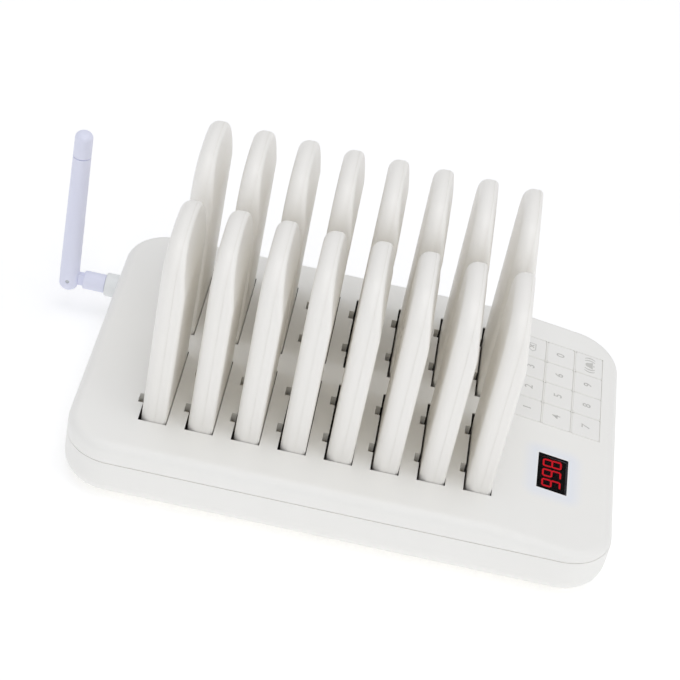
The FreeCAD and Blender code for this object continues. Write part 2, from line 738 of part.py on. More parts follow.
    posts = [rod(f"lower_post_{number}", "z", (x, y), ("foot_drop + wall / 2", SEAM),
                 "case_post_radius") for number, (x, y) in enumerate(CASE_POSTS)]
    solid = fuse("lower_solid", [lower, tongue] + posts)
    openings = [collar_hole]
    for number, (x, y) in enumerate(CASE_POSTS):
        openings.append(rod(f"screw_well_{number}", "z", (x, y), (
            "-overrun", "foot_drop + case_screw_seat"), "case_head_radius + screw_clearance"))
        openings.append(rod(f"screw_way_{number}", "z", (x, y), (
            "-overrun", f"{SEAM} + overrun"), "case_screw_radius + screw_clearance"))
    for number, (x, y) in enumerate(FEET):
        openings.append(rod(f"foot_recess_{number}", "z", (x, y), (
            "-overrun", "foot_drop + foot_recess"), "foot_radius + foot_gap"))
    openings.append(rod("inlet_hole", "y", ("inlet_along", "inlet_height"), (
        f"{BACK_END} - wall - overrun", f"{BACK_END} + overrun"), "inlet_radius + inlet_clearance"))
    openings.append(rod("inlet_seat", "y", ("inlet_along", "inlet_height"), (
        f"{BACK_END} - inlet_flange_thickness - inlet_clearance", f"{BACK_END} + overrun"),
        "inlet_flange_radius + inlet_clearance"))
    node(cut("lower_cover", solid, openings), "bottom_cover")


def upright_on_panel(edge):
    """Whether a straight edge stands square on the tilted panel."""
    normal = Rotation(Vector(0, 1, 0), value("panel_tilt")).multVec(Vector(0, 0, 1))
    span = edge.Vertexes[-1].Point - edge.Vertexes[0].Point
    return abs(span.normalize().dot(normal)) > 0.9


def keypad():
    """Twelve key caps with guide stems, and the silicone mat that they stand in."""
    cap = rounded("key_cap", rounded("key_cap_plan", block(
        "key_cap_form", around("0", "(key_pitch_along - key_gap) / 2"),
        around("0", "(key_pitch_across - key_gap) / 2"), (CAP_BOTTOM, "key_proud"), "own"),
        [("key_corner", along_z)]), [("key_edge_radius", at_level(value("key_proud")))])
    guide = rod("key_stem", "z", ("0", "0"), (
        f"{MAIN_TOP} + key_travel + stem_stop_gap", f"{CAP_BOTTOM} + key_thickness / 2"),
        "stem_radius", "own")
    key_form = fuse("key_form", [cap, guide])
    labels = [["1", "2", "3", "delete"], ["4", "5", "6", "0"], ["7", "8", "9", "call"]]
    collars, bores = [], []
    for column in range(KEY_COLUMNS):
        for row in range(KEY_ROWS):
            label = labels[column][row]
            along, across = key_middle(column, row)
            key = group(f"key_{label}_item", [key_form])
            node(place(key, along, across, "0", "panel"), f"key_{label}")
            collars.append(rod(f"collar_{label}", "z", (along, across), (MAIN_TOP, COLLAR_TOP),
                               "collar_radius", "panel"))
            bores.append(rod(f"bore_{label}", "z", (along, across), (
                f"{MAIN_TOP} - overrun", f"{COLLAR_TOP} + overrun"),
                "stem_radius + stem_clearance", "panel"))
    plate = block("mat_plate", (
        "keypad_along + mat_inset",
        f"keypad_along + {KEY_COLUMNS} * key_pitch_along - key_gap - mat_inset"),
        (f"{KEYPAD_FRONT} + mat_inset", f"{BACK_END} - keypad_margin - mat_inset"),
        (MAIN_TOP, MAT_TOP), "panel")
    node(cut("mat", fuse("mat_solid", [plate] + collars), bores), "keypad_mat")


def display():
    """The dark window in its ledge and the digit module under it."""
    window_form = block("window_form", around(WINDOW_ALONG, "window_width / 2 - window_clearance"),
                        around(WINDOW_ACROSS, "window_length / 2 - window_clearance"),
                        ("-window_ledge_depth", "window_thickness - window_ledge_depth"), "panel")
    window = rounded("window", window_form, [("window_corner", upright_on_panel)])
    node(window, "display_window")
    node(block("module", around(WINDOW_ALONG, "module_width / 2"), around(WINDOW_ACROSS, "module_length / 2"),
               (MAIN_TOP, "-wall - module_gap"), "panel"), "display_module")


def boards():
    """The main board under the panel, the charging board under the wells and its contacts."""
    plate = block("main_plate", ("main_board_start", "main_board_end"),
                  (BOARD_FRONT, BOARD_BACK), (MAIN_BOTTOM, MAIN_TOP), "panel")
    through = (f"{MAIN_BOTTOM} - overrun", f"{MAIN_TOP} + overrun")
    holes = [rod(f"main_hole_{number}", "z", middle, through, "board_screw_radius + screw_clearance", "panel")
             for number, middle in enumerate(BOARD_POSTS)]
    shield = block("radio_shield", around(WINDOW_ALONG, "shield_width / 2"),
                   around(WINDOW_ACROSS, "shield_length / 2"),
                   (f"{MAIN_BOTTOM} - shield_height", MAIN_BOTTOM), "panel")
    chips = [block(f"chip_{number}", around(WINDOW_ALONG, "chip_side / 2"),
                   around(f"({number + 1} * chip_spacing)", "chip_side / 2"),
                   (f"{MAIN_BOTTOM} - chip_height", MAIN_BOTTOM), "panel") for number in range(2)]
    node(group("main_board_group", [cut("main_plate_drilled", plate, holes), shield] + chips), "main_board")

    x, y = slot_corner(0, 0)
    last_x, last_y = slot_corner(ROWS - 1, PAGERS_PER_ROW - 1)
    plate = block("contact_plate", (f"{x} - notch_depth - well_wall - board_margin",
                                    f"{last_x} + {SLOT_WIDTH} + well_wall + board_margin"),
                  (f"{y} - well_wall - board_margin", f"{last_y} + {SLOT_LENGTH} + well_wall + board_margin"),
                  (f"{CONTACT_BOARD} - board_thickness", CONTACT_BOARD))
    holes = [rod(f"contact_plate_hole_{number}", "z", (px, py), (
        f"{CONTACT_BOARD} - board_thickness - overrun", f"{CONTACT_BOARD} + overrun"),
        "board_screw_radius + screw_clearance") for number, (px, py) in enumerate(DECK_POSTS)]
    node(cut("contact_plate_drilled", plate, holes), "charging_board")

    level = "(pad_lift + pager_seat_gap + well_floor)"
    width = around("0", "contact_width / 2")
    ring = cut("leaf_ring", rod("leaf_outer", "y", ("0", level), width, "contact_bow", "own"),
               [rod("leaf_inner", "y", ("0", level), (f"{width[0]} - overrun", f"{width[1]} + overrun"),
                    "contact_bow - contact_thickness", "own")])
    bow = common("leaf_bow", [ring, block("leaf_half", ("0", "contact_bow + overrun"), width,
                                          (f"{level} - contact_bow", f"{level} + contact_bow"), "own")])
    lower = block("leaf_lower", ("0", "contact_thickness"), width,
                  ("0", f"{level} - contact_bow + contact_thickness"), "own")
    upper = block("leaf_upper", ("0", "contact_thickness"), width,
                  (f"{level} + contact_bow - contact_thickness", "contact_rise"), "own")
    leaf = fuse("leaf", [lower, bow, upper])
    leaves = []
    for row in range(ROWS):
        for column in range(PAGERS_PER_ROW):
            x, y = slot_corner(row, column)
            for number, middle in enumerate(contact_middles(y)):
                item = group(f"leaf_{row}_{column}_{number}", [leaf])
                leaves.append(place(item, f"{x} + contact_room - contact_pad_gap - contact_bow", middle,
                                    CONTACT_BOARD))
    node(group("leaves", leaves), "charging_contacts")


def pagers():
    """Sixteen pagers: two half shells each, and a core of board, battery, motor, buzzer and pads."""
    outside = pager_form("pager_outside", "0")
    hollow = pager_form("pager_hollow", "pager_wall")
    shell = cut("pager_shell", outside, [hollow])
    whole_y = around("0", "pager_width / 2 + overrun")
    whole_z = ("-overrun", "pager_height + overrun")
    pads, windows = [], []
    outer_face = "(-pager_thickness / 2)"
    for number, middle in enumerate(["(-contact_front)", "contact_rear"]):
        tall = around("pad_lift", "pad_height / 2")
        wide = around(middle, "pad_width / 2")
        plate = block(f"pad_plate_{number}", (outer_face, f"{outer_face} + pad_thickness"), wide, tall, "own")
        leg = block(f"pad_leg_{number}", (outer_face, "core_board_offset"), around(middle, "pad_leg / 2"),
                    around("pad_lift", "pad_leg / 2"), "own")
        pads.append(fuse(f"pad_{number}", [plate, leg]))
        windows.append(block(f"pad_window_{number}",
                             (f"{outer_face} - overrun", f"{outer_face} + pager_wall + pad_gap"),
                             (f"{wide[0]} - pad_gap", f"{wide[1]} + pad_gap"),
                             (f"{tall[0]} - pad_gap", f"{tall[1]} + pad_gap"), "own"))
    front = common("pager_front_half", [shell, block("right_of_seam", (
        "pager_seam_offset + pager_seam_gap / 2", "pager_thickness"), whole_y, whole_z, "own")])
    back = cut("pager_back_half", common("pager_back_whole", [shell, block("left_of_seam", (
        "-pager_thickness", "pager_seam_offset - pager_seam_gap / 2"), whole_y, whole_z, "own")]), windows)

    board_x = ("core_board_offset", "core_board_offset + core_board_thickness")
    board_form = block("core_board_form", board_x, around("0", "pager_width / 2 - core_margin"),
                       ("core_margin", "pager_height - core_top_margin"), "own")
    board = rounded("core_board", board_form,
                    [("pager_corner - core_margin", at_side_top), ("core_board_thickness", at_side_foot)])
    battery = block("battery", ("-pager_thickness / 2 + pager_wall + pager_seam_gap", "core_board_offset"),
                    around("0", "battery_width / 2"), ("battery_lift", "battery_lift + battery_height"), "own")
    on_board = (board_x[1], f"{board_x[1]} + core_part_height")
    motor = rod("motor", "x", ("0", "motor_lift"), on_board, "motor_radius", "own")
    buzzer = rod("buzzer", "x", ("0", "buzzer_lift"), on_board, "buzzer_radius", "own")

    for row in range(ROWS):
        for column in range(PAGERS_PER_ROW):
            tag = f"pager_{row * PAGERS_PER_ROW + column + 1:02d}"
            x, y = slot_corner(row, column)
            for item, label in ((group(tag + "_shells", [front, back]), tag + "_case"),
                                (group(tag + "_inside", [board, battery, motor, buzzer] + pads), tag + "_core")):
                node(place(item, f"{x} + contact_room + pager_thickness / 2",
                           f"{y} + {SLOT_LENGTH} / 2", f"{WELL_BOTTOM} + pager_seat_gap"), label)


def at_side_top(edge):
    """Whether an edge runs through the core board's thickness at its upper end."""
    return edge.BoundBox.XLength > edge.BoundBox.YLength + edge.BoundBox.ZLength \
        and edge.BoundBox.ZMin > value("pager_height / 2")


def at_side_foot(edge):
    """Whether an edge runs through the core board's thickness at its lower end."""
    return edge.BoundBox.XLength > edge.BoundBox.YLength + edge.BoundBox.ZLength \
        and edge.BoundBox.ZMax < value("pager_height / 2")


def screw(name, radius, length, head_radius, head_height):
    """A pan head screw that points up, its head under the origin, with a cross recess."""
    head = rod(name + "_head", "z", ("0", "0"), (f"-{head_height}", "0"), head_radius, "own")
    shank = rod(name + "_shank", "z", ("0", "0"), ("0", length), radius, "own")
    reach = f"{head_radius} * recess_reach_share"
    depth = (f"-{head_height} - recess_depth", f"-{head_height} + recess_depth")
    arms = [block(name + "_arm_x", around("0", reach), around("0", "recess_width / 2"), depth, "own"),
            block(name + "_arm_y", around("0", "recess_width / 2"), around("0", reach), depth, "own")]
    return cut(name, fuse(name + "_solid", [head, shank]), arms)


def fasteners():
    """Case screws from below, and the small screws that hold the two boards."""
    case_screw = screw("case_screw", "case_screw_radius", "case_screw_length", "case_head_radius",
                       "case_head_height")
    board_screw = screw("board_screw", "board_screw_radius", "board_screw_length", "board_head_radius",
                        "board_head_height")
    screws = []
    for number, (x, y) in enumerate(CASE_POSTS):
        item = group(f"case_screw_{number}", [case_screw])
        screws.append(place(item, x, y, "foot_drop + case_screw_seat"))
    for number, (x, y) in enumerate(DECK_POSTS):
        item = group(f"deck_screw_{number}", [board_screw])
        screws.append(place(item, x, y, f"{CONTACT_BOARD} - board_thickness"))
    for number, (along, across) in enumerate(BOARD_POSTS):
        item = group(f"panel_screw_{number}", [board_screw])
        screws.append(place(item, along, across, MAIN_BOTTOM, "panel"))
    node(group("screws", screws), "case_screws")


def feet():
    """Rubber feet pressed into recesses of the lower cover."""
    pad = rounded("foot", rod("foot_form", "z", ("0", "0"), ("0", "foot_drop + foot_recess"), "foot_radius", "own"),
                  [("foot_edge_radius", at_level(0))])
    items = []
    for number, (x, y) in enumerate(FEET):
        items.append(place(group(f"foot_{number}", [pad]), x, y, "0"))
    node(group("foot_group", items), "rubber_feet")


def inlet():
    """The round power inlet in the rear wall, with its centre pin and its nut inside."""
    middle = ("inlet_along", "inlet_height")
    mouth = f"({BACK_END} - inlet_clearance)"
    barrel = rod("inlet_barrel", "y", middle, (f"{mouth} - inlet_length", mouth), "inlet_radius")
    flange = rod("inlet_flange", "y", middle, (f"{mouth} - inlet_flange_thickness", mouth), "inlet_flange_radius")
    bore = rod("inlet_bore", "y", middle, (f"{mouth} - inlet_bore_depth", f"{mouth} + overrun"),
               "inlet_bore_radius")
    pin = rod("inlet_pin", "y", middle, (f"{mouth} - inlet_length", f"{mouth} - inlet_flange_thickness"),
              "inlet_pin_radius")
    body = fuse("inlet_body", [cut("inlet_tube", fuse("inlet_blank", [barrel, flange]), [bore]), pin])
    nut_span = (f"{BACK_END} - wall - inlet_nut_thickness", f"{BACK_END} - wall")
    nut = cut("inlet_nut", rod("inlet_nut_form", "y", middle, nut_span, "inlet_nut_radius"),
              [rod("inlet_nut_bore", "y", middle, (f"{nut_span[0]} - overrun", f"{nut_span[1]} + overrun"),
                   "inlet_radius + screw_grip")])
    node(group("inlet_group", [body, nut]), "dc_socket")


def antenna():
    """A collar in the left wall, the stem that swivels in it and the whip that folds on a pin."""
    middle = (ANTENNA_Y, "antenna_height")
    collar_face = f"({LEFT_END} - collar_reach)"
    flange_end = f"({LEFT_END} + wall + collar_flange_thickness)"
    outer = rounded("collar_ring", rod("collar_ring_form", "x", middle, (collar_face, LEFT_END),
                                       "collar_outer_radius"),
                    [("collar_edge_radius", at_level(value(f"{CASE_X} + {collar_face}"), "x"))])
    neck = rod("collar_neck", "x", middle, (collar_face, flange_end), "collar_neck_radius")
    flange = rod("collar_flange", "x", middle, (f"{LEFT_END} + wall", flange_end), "collar_flange_radius")
    bore = rod("collar_bore", "x", middle, (f"{collar_face} - overrun", f"{flange_end} + overrun"),
               "shank_radius + shank_clearance")
    node(cut("collar", fuse("collar_solid", [outer, neck, flange]), [bore]), "antenna_collar")

    shoulder = f"({PIN_X} + fold_clearance)"
    body = rounded("stem_body", rod("stem_body_form", "x", middle, (shoulder, f"{collar_face} - swivel_gap"),
                                    "stem_body_radius"),
                   [("stem_edge_radius", at_level(value(f"{CASE_X} + {shoulder}"), "x"))])
    head_start = f"{flange_end} + swivel_gap"
    shank = rod("stem_shank", "x", middle, (f"{collar_face} - swivel_gap - shank_head_thickness",
                                            f"{head_start} + shank_head_thickness"), "shank_radius")
    head = rod("stem_head", "x", middle, (head_start, f"{head_start} + shank_head_thickness"),
               "shank_head_radius")
    thick = around(ANTENNA_Y, "tongue_thickness / 2")
    tongue = block("stem_tongue", (PIN_X, f"{shoulder} + tongue_thickness"), thick,
                   around("antenna_height", "tongue_radius"))
    knuckle = rod("stem_knuckle", "y", (PIN_X, "antenna_height"), thick, "tongue_radius")
    pin_way = rod("stem_pin_way", "y", (PIN_X, "antenna_height"), (f"{thick[0]} - overrun", f"{thick[1]} + overrun"),
                  "pin_radius + pin_clearance")
    node(cut("stem", fuse("stem_solid", [body, shank, head, tongue, knuckle]), [pin_way]), "antenna_stem")

    across = around(ANTENNA_Y, "whip_radius - pin_inset")
    node(rod("pin", "y", (PIN_X, "antenna_height"), across, "pin_radius"), "antenna_hinge_pin")

    cone = doc.addObject("Part::Cone", "whip_cone")
    bind(cone, {"Radius1": "whip_radius", "Radius2": "whip_tip_radius", "Height": "whip_below + whip_above"})
    place(cone, PIN_X, ANTENNA_Y, "antenna_height - whip_below")
    form = rounded("whip_form", cone, [("whip_foot_radius", at_level(value("antenna_height - whip_below"))),
                                       ("tip_edge_radius", at_level(value("antenna_height + whip_above")))])
    joint = "(antenna_height + whip_above - tip_length)"
    wide_x = around(PIN_X, "whip_radius + overrun")
    wide_y = around(ANTENNA_Y, "whip_radius + overrun")
    below = block("below_joint", wide_x, wide_y, (
        "antenna_height - whip_below - overrun", f"{joint} - tip_gap / 2"))
    above = block("above_joint", wide_x, wide_y, (
        f"{joint} + tip_gap / 2", "antenna_height + whip_above + overrun"))
    fork = block("fork_slot", wide_x, around(ANTENNA_Y, "tongue_thickness / 2 + fork_gap"), (
        "antenna_height - whip_below - overrun", "antenna_height + tongue_radius + 2 * fork_gap"))
    prong_way = rod("prong_way", "y", (PIN_X, "antenna_height"), wide_y, "pin_radius + pin_grip")
    socket = rod("spigot_way", "z", (PIN_X, ANTENNA_Y), (
        f"{joint} - spigot_length - screw_tip_gap", f"{joint} + overrun"), "spigot_radius + pin_grip")
    node(cut("whip", common("whip_blank", [form, below]), [fork, prong_way, socket]), "antenna_whip")
    spigot = rod("spigot", "z", (PIN_X, ANTENNA_Y), (f"{joint} - spigot_length", f"{joint} + tip_length / 2"),
                 "spigot_radius")
    node(fuse("tip", [common("tip_blank", [form, above]), spigot]), "antenna_tip")


covers()
keypad()
display()
boards()
pagers()
fasteners()
feet()
inlet()
antenna()
doc.recompute()

faults = [f"{item.Name}: {item.State}" for item in doc.Objects
          if "Invalid" in item.State or "Error" in item.State]
faults += [f"{item.Label}: bad shape" for item in NODES if item.Shape.isNull() or not item.Shape.isValid()]
if faults:
    raise RuntimeError("; ".join(faults))

os.makedirs("parts", exist_ok=True)
for item in NODES:
    item.Shape.exportStep(f"parts/{item.Label}.step")
    print(item.Label, len(item.Shape.Solids), round(item.Shape.Volume, 3))
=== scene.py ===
import math

import bmesh
import bpy
from mathutils import Matrix, Vector


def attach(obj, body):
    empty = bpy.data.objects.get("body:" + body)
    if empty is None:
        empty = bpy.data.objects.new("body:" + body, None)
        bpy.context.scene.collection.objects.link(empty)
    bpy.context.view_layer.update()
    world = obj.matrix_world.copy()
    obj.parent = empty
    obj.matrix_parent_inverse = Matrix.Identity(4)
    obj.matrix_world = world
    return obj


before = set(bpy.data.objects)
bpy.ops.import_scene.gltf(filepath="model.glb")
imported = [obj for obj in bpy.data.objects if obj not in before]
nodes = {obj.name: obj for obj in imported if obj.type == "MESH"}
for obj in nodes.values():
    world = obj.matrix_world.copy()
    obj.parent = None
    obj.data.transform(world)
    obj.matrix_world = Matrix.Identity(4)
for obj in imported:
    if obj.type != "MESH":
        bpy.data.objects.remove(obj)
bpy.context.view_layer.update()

# Lengths are written in millimetres and angles in degrees, unless a comment says otherwise, and
# MM turns a length to the metres that Blender works in.
MM = 0.001

# Camera
# The photograph's own view: from the front and above, turned a little about its line of sight,
# with a long lens that stands about a metre away.
CAMERA_PLACE = Vector((0.85, -721.63, 619.29)) * MM
CAMERA_ELEVATION = 38.10
CAMERA_AZIMUTH = 0.07
CAMERA_ROLL = 12.28
CAMERA_LENS = 105.77
CAMERA_SENSOR = 36.0
CAMERA_NEAREST = 10.0

camera_data = bpy.data.cameras.new("camera")
camera_data.lens = CAMERA_LENS
camera_data.sensor_width = CAMERA_SENSOR
camera_data.clip_start = CAMERA_NEAREST * MM
camera = bpy.data.objects.new("camera", camera_data)
bpy.context.scene.collection.objects.link(camera)
camera.matrix_world = (Matrix.Translation(CAMERA_PLACE)
                       @ Matrix.Rotation(math.radians(-CAMERA_AZIMUTH), 4, "Z")
                       @ Matrix.Rotation(math.radians(90 - CAMERA_ELEVATION), 4, "X")
                       @ Matrix.Rotation(math.radians(CAMERA_ROLL), 4, "Z"))
bpy.context.scene.camera = camera

# Light and floor
# A white light table in a bright surround that darkens towards the horizon, with three large
# soft boxes: in front, overhead and at the right. Light bounces many times between the pagers,
# so their gaps fill. Places and sides are in metres here, and the boxes' energy is in watts.
LIGHT_BOUNCES = 16
FLOOR_SIDE = 6.0
FLOOR_WHITE = "#FDFDFD"
FLOOR_ROUGHNESS = 0.9
FLOOR_GLOW = 0.17
SURROUND_WHITE = "#FBFCFF"
HORIZON_STRENGTH = 0.46
ZENITH_STRENGTH = 0.80
AIM = Vector((0, 0, 0.05))
SOFT_BOXES = (("front soft box", Vector((0.25, -2.0, 1.8)), 1.3, 6.0),
              ("overhead soft box", Vector((0.1, -0.2, 2.2)), 1.4, 8.0),
              ("right soft box", Vector((1.9, -0.7, 1.0)), 1.6, 4.0))

bpy.context.scene.view_settings.view_transform = "Standard"
bpy.context.scene.cycles.max_bounces = LIGHT_BOUNCES
bpy.context.scene.cycles.diffuse_bounces = LIGHT_BOUNCES


def linear(code):
    """A colour given as sRGB hex, as linear red, green, blue and alpha."""
    parts = [int(code[i:i + 2], 16) / 255 for i in (1, 3, 5)]
    return [part / 12.92 if part <= 0.04045 else ((part + 0.055) / 1.055) ** 2.4
            for part in parts] + [1.0]


def wire(tree, node, settings, links):
    """Give a node its settings, and its links as input: (node, output).

    A socket goes by its name, or by its number where a node uses one name for several.
    """
    for name, setting in settings.items():
        if isinstance(name, int) or name in node.inputs:
            node.inputs[name].default_value = setting
        else:
            setattr(node, name, setting)
    for name, (other, output) in links.items():
        tree.links.new(other.outputs[output], node.inputs[name])
    return node


def add(tree, kind, settings, links):
    """A new node with its settings and links."""
    return wire(tree, tree.nodes.new(kind), settings, links)


def blank(name):
    """A new material, its node tree and its shader."""
    material = bpy.data.materials.new(name)
    material.use_nodes = True
    return material, material.node_tree, material.node_tree.nodes["Principled BSDF"]


def begin(primitive, sides=None, **settings):
    """A new primitive at the origin, selected alone, and stretched to sides if they are given."""
    bpy.ops.object.select_all(action="DESELECT")
    primitive(location=(0, 0, 0), **settings)
    piece = bpy.context.active_object
    if sides:
        piece.data.transform(Matrix.Diagonal((*(side * MM for side in sides), 1)))
    return piece


world = bpy.data.worlds.new("white surround")
world.use_nodes = True
sky = world.node_tree
towards = add(sky, "ShaderNodeTexCoord", {}, {})
height = add(sky, "ShaderNodeSeparateXYZ", {}, {"Vector": (towards, "Generated")})
rise = add(sky, "ShaderNodeMapRange", {"To Min": HORIZON_STRENGTH, "To Max": ZENITH_STRENGTH},
           {"Value": (height, "Z")})
wire(sky, sky.nodes["Background"], {"Color": linear(SURROUND_WHITE)},
     {"Strength": (rise, "Result")})
bpy.context.scene.world = world

floor = begin(bpy.ops.mesh.primitive_plane_add, size=FLOOR_SIDE)
floor.name = "floor"
floor_finish, floor_tree, floor_shader = blank("opal light table")
wire(floor_tree, floor_shader, {"Base Color": linear(FLOOR_WHITE), "Roughness": FLOOR_ROUGHNESS,
                                "Emission Color": linear(FLOOR_WHITE),
                                "Emission Strength": FLOOR_GLOW}, {})
floor.data.materials.append(floor_finish)

for name, place, side, energy in SOFT_BOXES:
    lamp = bpy.data.lights.new(name, "AREA")
    lamp.size = side
    lamp.energy = energy
    stand = bpy.data.objects.new(name, lamp)
    bpy.context.scene.collection.objects.link(stand)
    turn = (AIM - place).to_track_quat("-Z", "Y").to_matrix().to_4x4()
    stand.matrix_world = Matrix.Translation(place) @ turn

# Case
# Upper and lower shell of a low charging case, injection moulded in warm white ABS from a
# spark-eroded tool: a fine even grain that keeps a soft gloss. A faint cool glow is painted round
# the lit display, and dark grey shade is painted inside the wells, so the gaps beside the pagers
# read dark.
ABS_IOR = 1.53
CASE_WHITE = "#F3F2EF"
CASE_SHADE = "#F0EFEB"
# Painted glow: the cool tint painted round the lit display.
CASE_PAINTED_GLOW = "#E6EAF3"
CASE_GRAIN = 0.7
CASE_CLOUD = 38.0
SKIN_SHINIER = 0.05
SKIN_DULLER = 0.07
PANEL_CREASE = Vector((83.775, 0, 33)) * MM
PANEL_TILT = 8.0
WINDOW_MIDDLE = Vector((25.25, -32.4, 0)) * MM
WINDOW_HALF = Vector((7.4, 12.1, 5.0)) * MM
# Painted glow: how far from the display window the cool tint reaches, and how strong it is there.
PAINTED_GLOW_REACH = 9.0
PAINTED_GLOW_STRENGTH = 0.75
# Painted shade: the inside of the wells is painted this dark grey, so the gaps beside the pagers
# read dark.
WELL_PAINTED_SHADE = "#45423F"
WELLS_MIDDLE = Vector((-3.5, 0, 20.0)) * MM
WELLS_HALF = Vector((86.5, 66.0, 12.3)) * MM
WELLS_FADE = 0.3
SLOT_PITCH = 21.0
FIRST_SLOT = -78.225
NOTCH_DEPTH = 3.0
NOTCH_EDGE = 0.1

panel = Matrix.Translation(PANEL_CREASE) @ Matrix.Rotation(math.radians(PANEL_TILT), 4, "Y")


def moulded(name, light, shade, roughness, grain, relief, ior, cloud=CASE_CLOUD):
    """A moulded skin: an even body colour with a faint cloud, and the tool's grain as relief."""
    material, tree, shader = blank(name)
    where = add(tree, "ShaderNodeTexCoord", {}, {})
    drift = add(tree, "ShaderNodeTexNoise", {"Scale": 1 / (cloud * MM), "Detail": 2.0},
                {"Vector": (where, "Object")})
    tint = add(tree, "ShaderNodeMixRGB",
               {"name": "body colour", "Color1": linear(light), "Color2": linear(shade)},
               {"Fac": (drift, "Fac")})
    skin = add(tree, "ShaderNodeTexNoise",
               {"Scale": 1 / (grain * MM), "Detail": 3.0, "Roughness": 0.6},
               {"Vector": (where, "Object")})
    gloss = add(tree, "ShaderNodeMapRange",
                {"To Min": roughness - SKIN_SHINIER, "To Max": roughness + SKIN_DULLER},
                {"Value": (skin, "Fac")})
    bump = add(tree, "ShaderNodeBump", {"Strength": 0.35, "Distance": relief * MM},
               {"Height": (skin, "Fac")})
    wire(tree, shader, {"IOR": ior}, {"Base Color": (tint, "Color"),
                                      "Roughness": (gloss, "Result"),
                                      "Normal": (bump, "Normal")})
    return material


def dress(node_names, material):
    """Give CAD nodes one material on all their slots."""
    for name in node_names:
        mesh = nodes[name].data
        if not mesh.materials:
            mesh.materials.append(material)
        for place in range(len(mesh.materials)):
            mesh.materials[place] = material


def outside_box(tree, where, to_box, half):
    """How far a point lies outside a box round the origin of its own frame."""
    local = add(tree, "ShaderNodeMapping",
                {"Location": to_box.translation, "Rotation": to_box.to_euler()},
                {"Vector": (where, "Object")})
    aside = add(tree, "ShaderNodeVectorMath", {"operation": "ABSOLUTE"}, {0: (local, "Vector")})
    past = add(tree, "ShaderNodeVectorMath", {"operation": "SUBTRACT", 1: half},
               {0: (aside, "Vector")})
    beyond = add(tree, "ShaderNodeVectorMath", {"operation": "MAXIMUM"}, {0: (past, "Vector")})
    return add(tree, "ShaderNodeVectorMath", {"operation": "LENGTH"}, {0: (beyond, "Vector")})


def repeated_beyond(tree, place, start, limit):
    """One where x, counted from start anew at each slot, is more than the limit."""
    own = add(tree, "ShaderNodeMath",
              {"operation": "WRAP", 1: start * MM, 2: (start + SLOT_PITCH) * MM},
              {0: (place, "X")})
    return add(tree, "ShaderNodeMath", {"operation": "GREATER_THAN", 1: limit * MM},
               {0: (own, "Value")})


case_abs = moulded("spark eroded ABS, warm white", CASE_WHITE, CASE_SHADE, roughness=0.42,
                   grain=CASE_GRAIN, relief=0.03, ior=ABS_IOR)
case_tree = case_abs.node_tree
case_where = add(case_tree, "ShaderNodeTexCoord", {}, {})
# Painted glow: a cool tint painted on the case, strongest at the display window and fading within a
# few millimetres.
to_window = (panel @ Matrix.Translation(WINDOW_MIDDLE)).inverted()
far = outside_box(case_tree, case_where, to_window, WINDOW_HALF)
cast = add(case_tree, "ShaderNodeMapRange",
           {"interpolation_type": "SMOOTHSTEP", "From Min": 0.0, "From Max": PAINTED_GLOW_REACH * MM,
            "To Min": PAINTED_GLOW_STRENGTH, "To Max": 0.0}, {"Value": (far, "Value")})
glow_painted = add(case_tree, "ShaderNodeMixRGB", {"Color2": linear(CASE_PAINTED_GLOW)},
             {"Fac": (cast, "Result"), "Color1": (case_tree.nodes["body colour"], "Color")})
# Painted shade: dark grey painted inside the wells' box, fading out at its edge, except in the
# notches.
deep = outside_box(case_tree, case_where, Matrix.Translation(-WELLS_MIDDLE), WELLS_HALF)
wells_shade_fade = add(case_tree, "ShaderNodeMapRange",
           {"From Max": WELLS_FADE * MM, "To Min": 1.0, "To Max": 0.0}, {"Value": (deep, "Value")})
case_place = add(case_tree, "ShaderNodeSeparateXYZ", {}, {"Vector": (case_where, "Object")})
past_notch = repeated_beyond(case_tree, case_place, FIRST_SLOT - NOTCH_DEPTH,
                             FIRST_SLOT - NOTCH_EDGE)
painted_well_shade = add(case_tree, "ShaderNodeMath", {"operation": "MULTIPLY"},
            {0: (wells_shade_fade, "Result"), 1: (past_notch, "Value")})
shaded_in_wells = add(case_tree, "ShaderNodeMixRGB", {"Color2": linear(WELL_PAINTED_SHADE)},
             {"Fac": (painted_well_shade, "Value"), "Color1": (glow_painted, "Color")})
wire(case_tree, case_tree.nodes["Principled BSDF"], {}, {"Base Color": (shaded_in_wells, "Color")})
dress(["top_cover", "bottom_cover"], case_abs)

# Feet
# Four round feet die cut from black foamed rubber sheet, pressed into shallow seats under the
# case. Open cells make the skin dull and finely pitted.
FOOT_BLACK = "#1B1B1C"
FOOT_GREY = "#29292A"
foot_rubber = moulded("foamed rubber, black", FOOT_BLACK, FOOT_GREY, roughness=0.78, grain=0.5,
                      relief=0.12, ior=1.52, cloud=6.0)
dress(["rubber_feet"], foot_rubber)

# Screws
# Six self-tapping screws hold the shells together from below and eight short ones hold the
# boards: cold headed steel, zinc plated and passivated clear, which leaves a pale, slightly
# blue metal with faint turning marks.
ZINC_LIGHT = "#C9CCD0"
ZINC_DARK = "#A9ADB4"
PLATING_CLOUD = 2.5
PLATING_SHINIER = 0.08
PLATING_DULLER = 0.1
WAVE_STEP = 20


def bands_every(pitch):
    """The scale at which the wave texture, which turns WAVE_STEP radians a unit, has this pitch."""
    return 2 * math.pi / (WAVE_STEP * pitch * MM)


